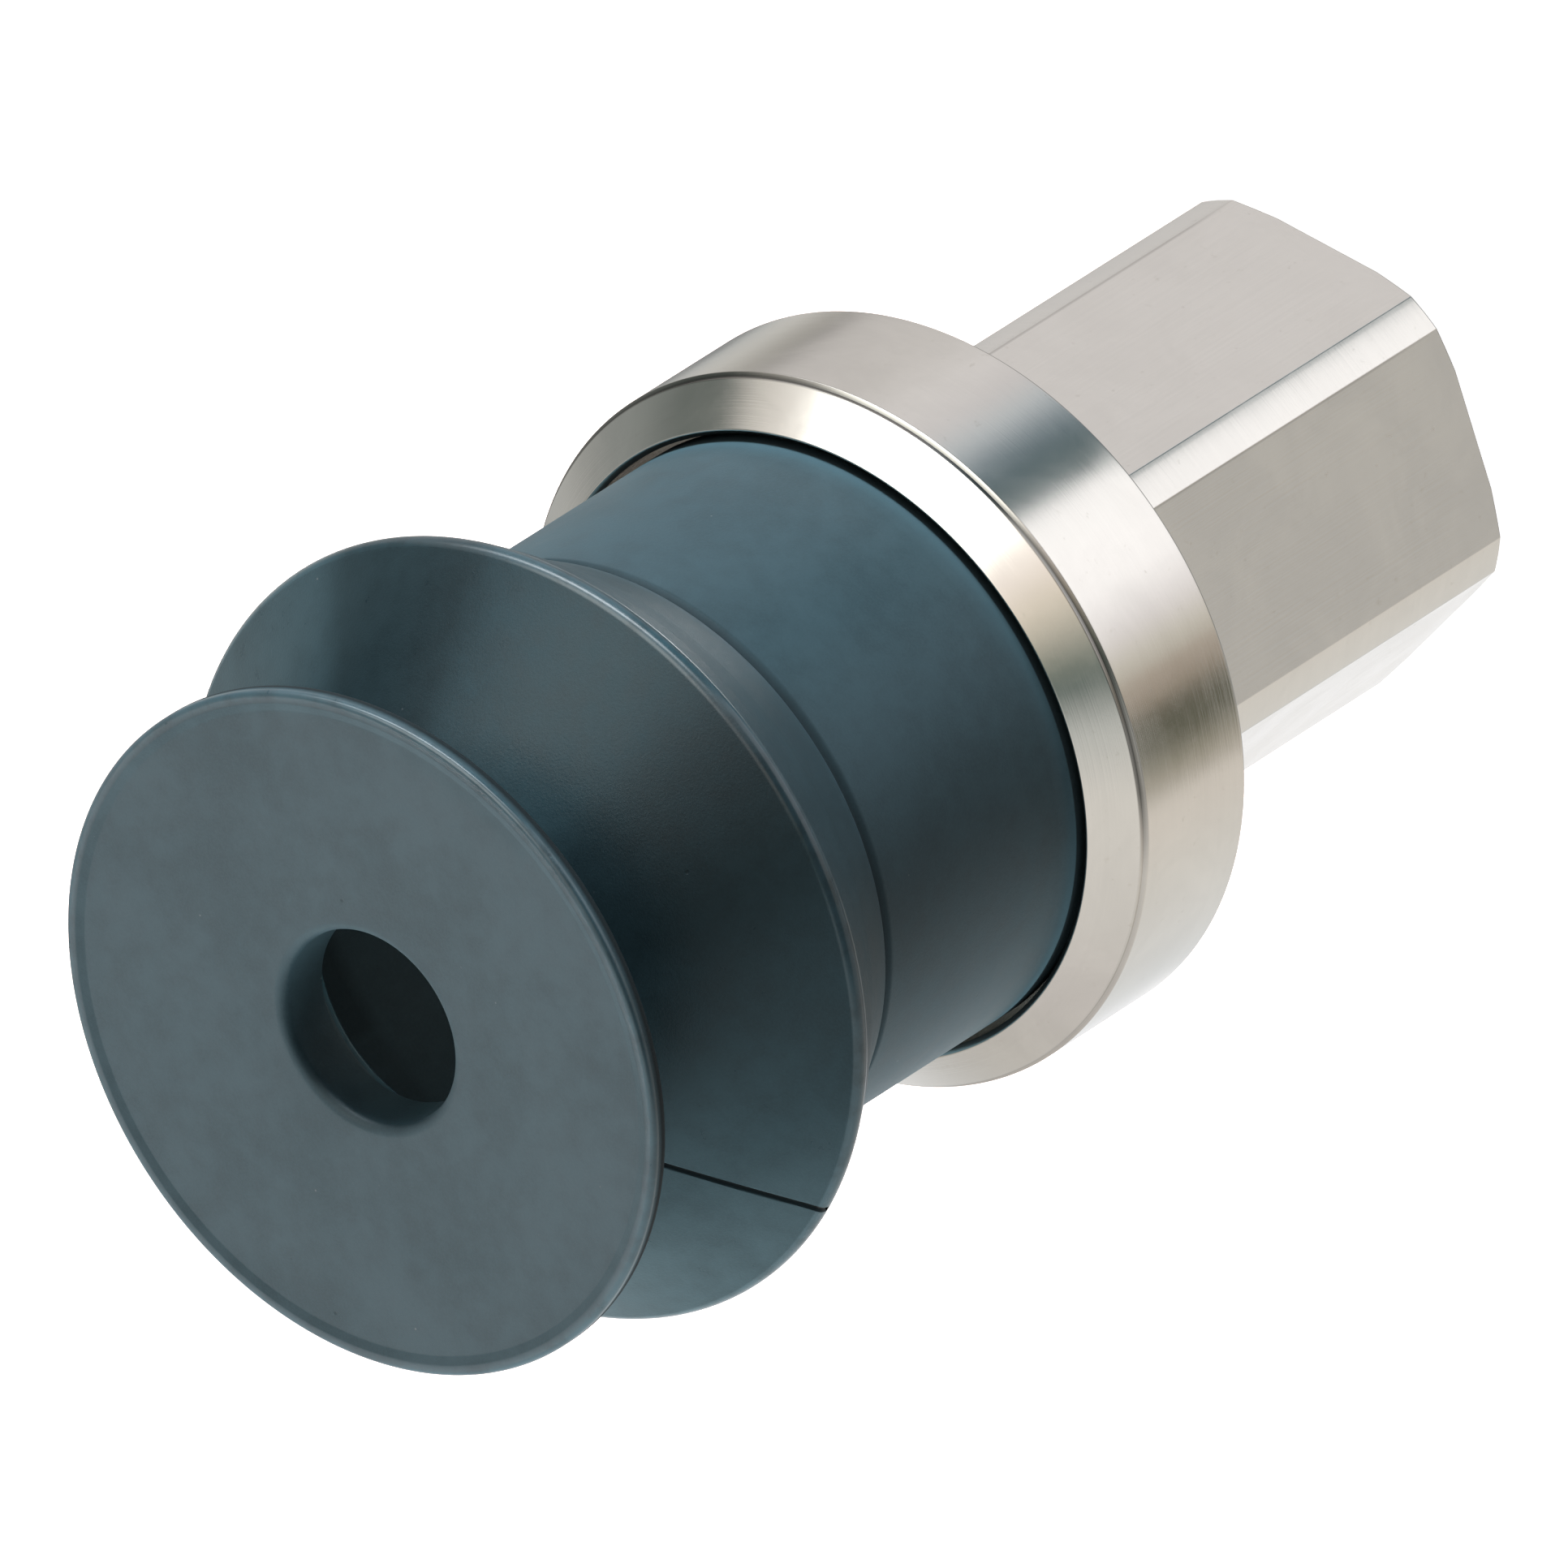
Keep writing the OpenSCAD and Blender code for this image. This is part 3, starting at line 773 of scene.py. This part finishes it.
high = ramp(n, az, [
    (-180, (0.40, 0.40, 0.39)), (-137, (0.28, 0.30, 0.29)), (-125, (0.16, 0.18, 0.17)), (-113, (0.17, 0.19, 0.18)),
    (-109, (0.66, 0.64, 0.60)), (-99, (0.88, 0.85, 0.81)), (-84, (1.16, 1.15, 1.12)), (-70, (1.25, 1.27, 1.24)), (-32, (1.22, 1.18, 1.12)),
    (-14, (1.12, 1.03, 0.97)), (0, (0.90, 0.82, 0.70)), (13, (0.56, 0.53, 0.45)), (23, (0.24, 0.27, 0.23)),
    (32, (0.10, 0.14, 0.13)), (40, (0.34, 0.37, 0.35)), (49, (0.62, 0.64, 0.62)), (69, (0.80, 0.78, 0.74)),
    (100, (0.74, 0.72, 0.69)), (121, (0.67, 0.64, 0.62)), (140, (0.60, 0.58, 0.55)), (180, (0.40, 0.40, 0.39))])
mirror = n.mix(n.span(el, -14, 4), low, high)
# the room behind the camera is dim, the big soft box is brightest in its middle
mirror = patch(mirror, n.math("MULTIPLY", window(az, -12, 58, 14, 14), window(el, -4, 44, 10, 8)), (0.14, 0.14, 0.14))
hot = n.vmath("DOT_PRODUCT", direction, tuple((0.27 * W - 0.58 * V + 0.77 * Z).normalized()))
mirror = n.mix(n.span(hot, 0.885, 0.985), mirror, (3.8, 3.8, 3.6, 1))
# a long narrow light beside the camera draws the bright line on the rims
strip = n.math("MULTIPLY", window(az, -82, -38, 22, 18), window(el, 3, 17, 7, 7))
mirror = n.mix(strip, mirror, (11.0, 11.4, 11.8, 1))
# the table straight below is in shade
mirror = n.mix(n.math("MULTIPLY", n.span(el, -50, -62), 0.7), mirror, (0.06, 0.075, 0.085, 1))

ray = n.new("ShaderNodeLightPath")
# the lamps light the matt surfaces; the room itself adds only a little
seen = n.mix(ray.outputs["Is Glossy Ray"], (0.035, 0.036, 0.038, 1), mirror)
seen = n.mix(ray.outputs["Is Camera Ray"], seen, (1.0, 1.0, 1.0, 1))
back = n.new("ShaderNodeBackground")
n.put(back.inputs["Color"], seen)
n.tree.links.new(back.outputs[0], out.inputs["Surface"])


def softbox(name, azimuth, elevation, distance, width, power, colour=(1, 1, 1)):
    a, e = math.radians(azimuth), math.radians(elevation)
    back_dir = (math.cos(a) * W + math.sin(a) * V) * math.cos(e) + math.sin(e) * Z
    lamp = bpy.data.lights.new(name, "AREA")
    lamp.shape = "DISK"
    lamp.size = width
    lamp.energy = power
    lamp.color = colour
    obj = bpy.data.objects.new(name, lamp)
    bpy.context.scene.collection.objects.link(obj)
    obj.location = Vector((0, 0, 0.035)) + back_dir * distance
    obj.rotation_mode = "QUATERNION"
    obj.rotation_quaternion = back_dir.to_track_quat("Z", "Y")
    obj.visible_glossy = False
    obj.visible_camera = False
    return obj


softbox("softbox_left", -58, -4, 0.55, 0.24, 3.6, (0.95, 1.0, 1.04))
softbox("softbox_left_low", -75, -40, 0.55, 0.24, 0.3)
softbox("softbox_right", 120, -2, 0.55, 0.24, 1.6)
softbox("softbox_right_front", 97, 14, 0.55, 0.24, 0.9)
softbox("softbox_right_high", 130, 42, 0.55, 0.24, 1.3)
softbox("softbox_back", 180, 44, 0.55, 0.24, 3.45, (1.42, 1.04, 0.95))

# a faint glow inside the cup, in place of the light that real rubber lets through
inner = bpy.data.lights.new("glow_inside", "POINT")
inner.energy, inner.shadow_soft_size, inner.color = 0.0008, 2.5 * MM, (1.0, 0.95, 0.9)
inner_obj = bpy.data.objects.new("glow_inside", inner)
bpy.context.scene.collection.objects.link(inner_obj)
inner_obj.location = (0, 0, 51.5 * MM)
inner_obj.visible_glossy = False
inner_obj.visible_camera = False


# -------------------------------------------------- cards close to the part

def near_card(name, lo, hi, stops):
    """Curved card close to the part, from height lo to hi, with colours along its azimuth. Only mirrors see it."""
    radius, cols, rows_up = 36.0, 36, 6
    first, last = stops[0][0], stops[-1][0]
    verts, faces = [], []
    for j in range(rows_up + 1):
        for i in range(cols + 1):
            a = math.radians(photo_angle(first + (last - first) * i / cols))
            verts.append((radius * math.cos(a) * MM, radius * math.sin(a) * MM, (lo + (hi - lo) * j / rows_up) * MM))
    for j in range(rows_up):
        for i in range(cols):
            k = j * (cols + 1) + i
            faces.append((k, k + 1, k + cols + 2, k + cols + 1))
    mesh = bpy.data.meshes.new(name)
    mesh.from_pydata(verts, [], faces)
    card = bpy.data.objects.new(name, mesh)
    bpy.context.scene.collection.objects.link(card)
    m = bpy.data.materials.new(name + "_paper")
    m.use_nodes = True
    n = Nodes(m.node_tree)
    out = n.new("ShaderNodeOutputMaterial")
    place = n.new("ShaderNodeTexCoord").outputs["Object"]
    card_az = n.math("MULTIPLY", n.math("ARCTAN2", n.vmath("DOT_PRODUCT", place, tuple(V)),
                                        n.vmath("DOT_PRODUCT", place, tuple(W))), 180 / math.pi)
    glow = n.new("ShaderNodeEmission")
    n.put(glow.inputs["Color"], ramp(n, card_az, stops))
    n.tree.links.new(glow.outputs[0], out.inputs["Surface"])
    mesh.materials.append(m)
    for key in ("visible_camera", "visible_diffuse", "visible_shadow", "visible_transmission", "visible_volume_scatter"):
        setattr(card, key, False)


# the dark streak on the collar, and two cards that only the hexagon mirrors
near_card("card_dark", 1.2, 11.2, [
    (27, (0.50, 0.44, 0.37)), (31, (0.42, 0.36, 0.30)), (34.5, (0.33, 0.28, 0.22)), (37, (0.16, 0.15, 0.115)),
    (41, (0.105, 0.105, 0.072)), (45, (0.13, 0.13, 0.095)), (49, (0.23, 0.22, 0.17)), (53, (0.35, 0.33, 0.26)),
    (58.5, (0.58, 0.54, 0.49))])
near_card("card_grey_left", -34, -4.5, [(-132, (0.60, 0.59, 0.585)), (-121, (0.69, 0.675, 0.67)), (-110, (0.76, 0.745, 0.735))])
near_card("card_pale_right", -42, -4.5, [(137, (0.98, 0.98, 0.985)), (148, (1.04, 1.04, 1.05)), (162, (1.06, 1.06, 1.07))])

# ------------------------------------------------------------------ camera

# a very long lens, because the photograph shows no perspective
distance = 2.7525
back_axis = (0.694 * Z + 0.72 * W).normalized()
right_axis = (-0.6075 * Z + 0.5856 * W + 0.5367 * V).normalized()
up_axis = back_axis.cross(right_axis)
aim = Vector((0, 0, lip_z * MM)) + 0.01675 * right_axis + 0.00995 * up_axis
cam_data = bpy.data.cameras.new("photo_camera")
cam_data.sensor_width = 36
cam_data.lens = 36 * distance / 0.06193
cam_data.clip_start, cam_data.clip_end = 0.1, 12
cam = bpy.data.objects.new("photo_camera", cam_data)
bpy.context.scene.collection.objects.link(cam)
turn = Matrix((right_axis, up_axis, back_axis)).transposed()
cam.matrix_world = Matrix.Translation(aim + distance * back_axis) @ turn.to_4x4()
bpy.context.scene.camera = cam
bpy.context.scene.view_settings.view_transform = "Standard"
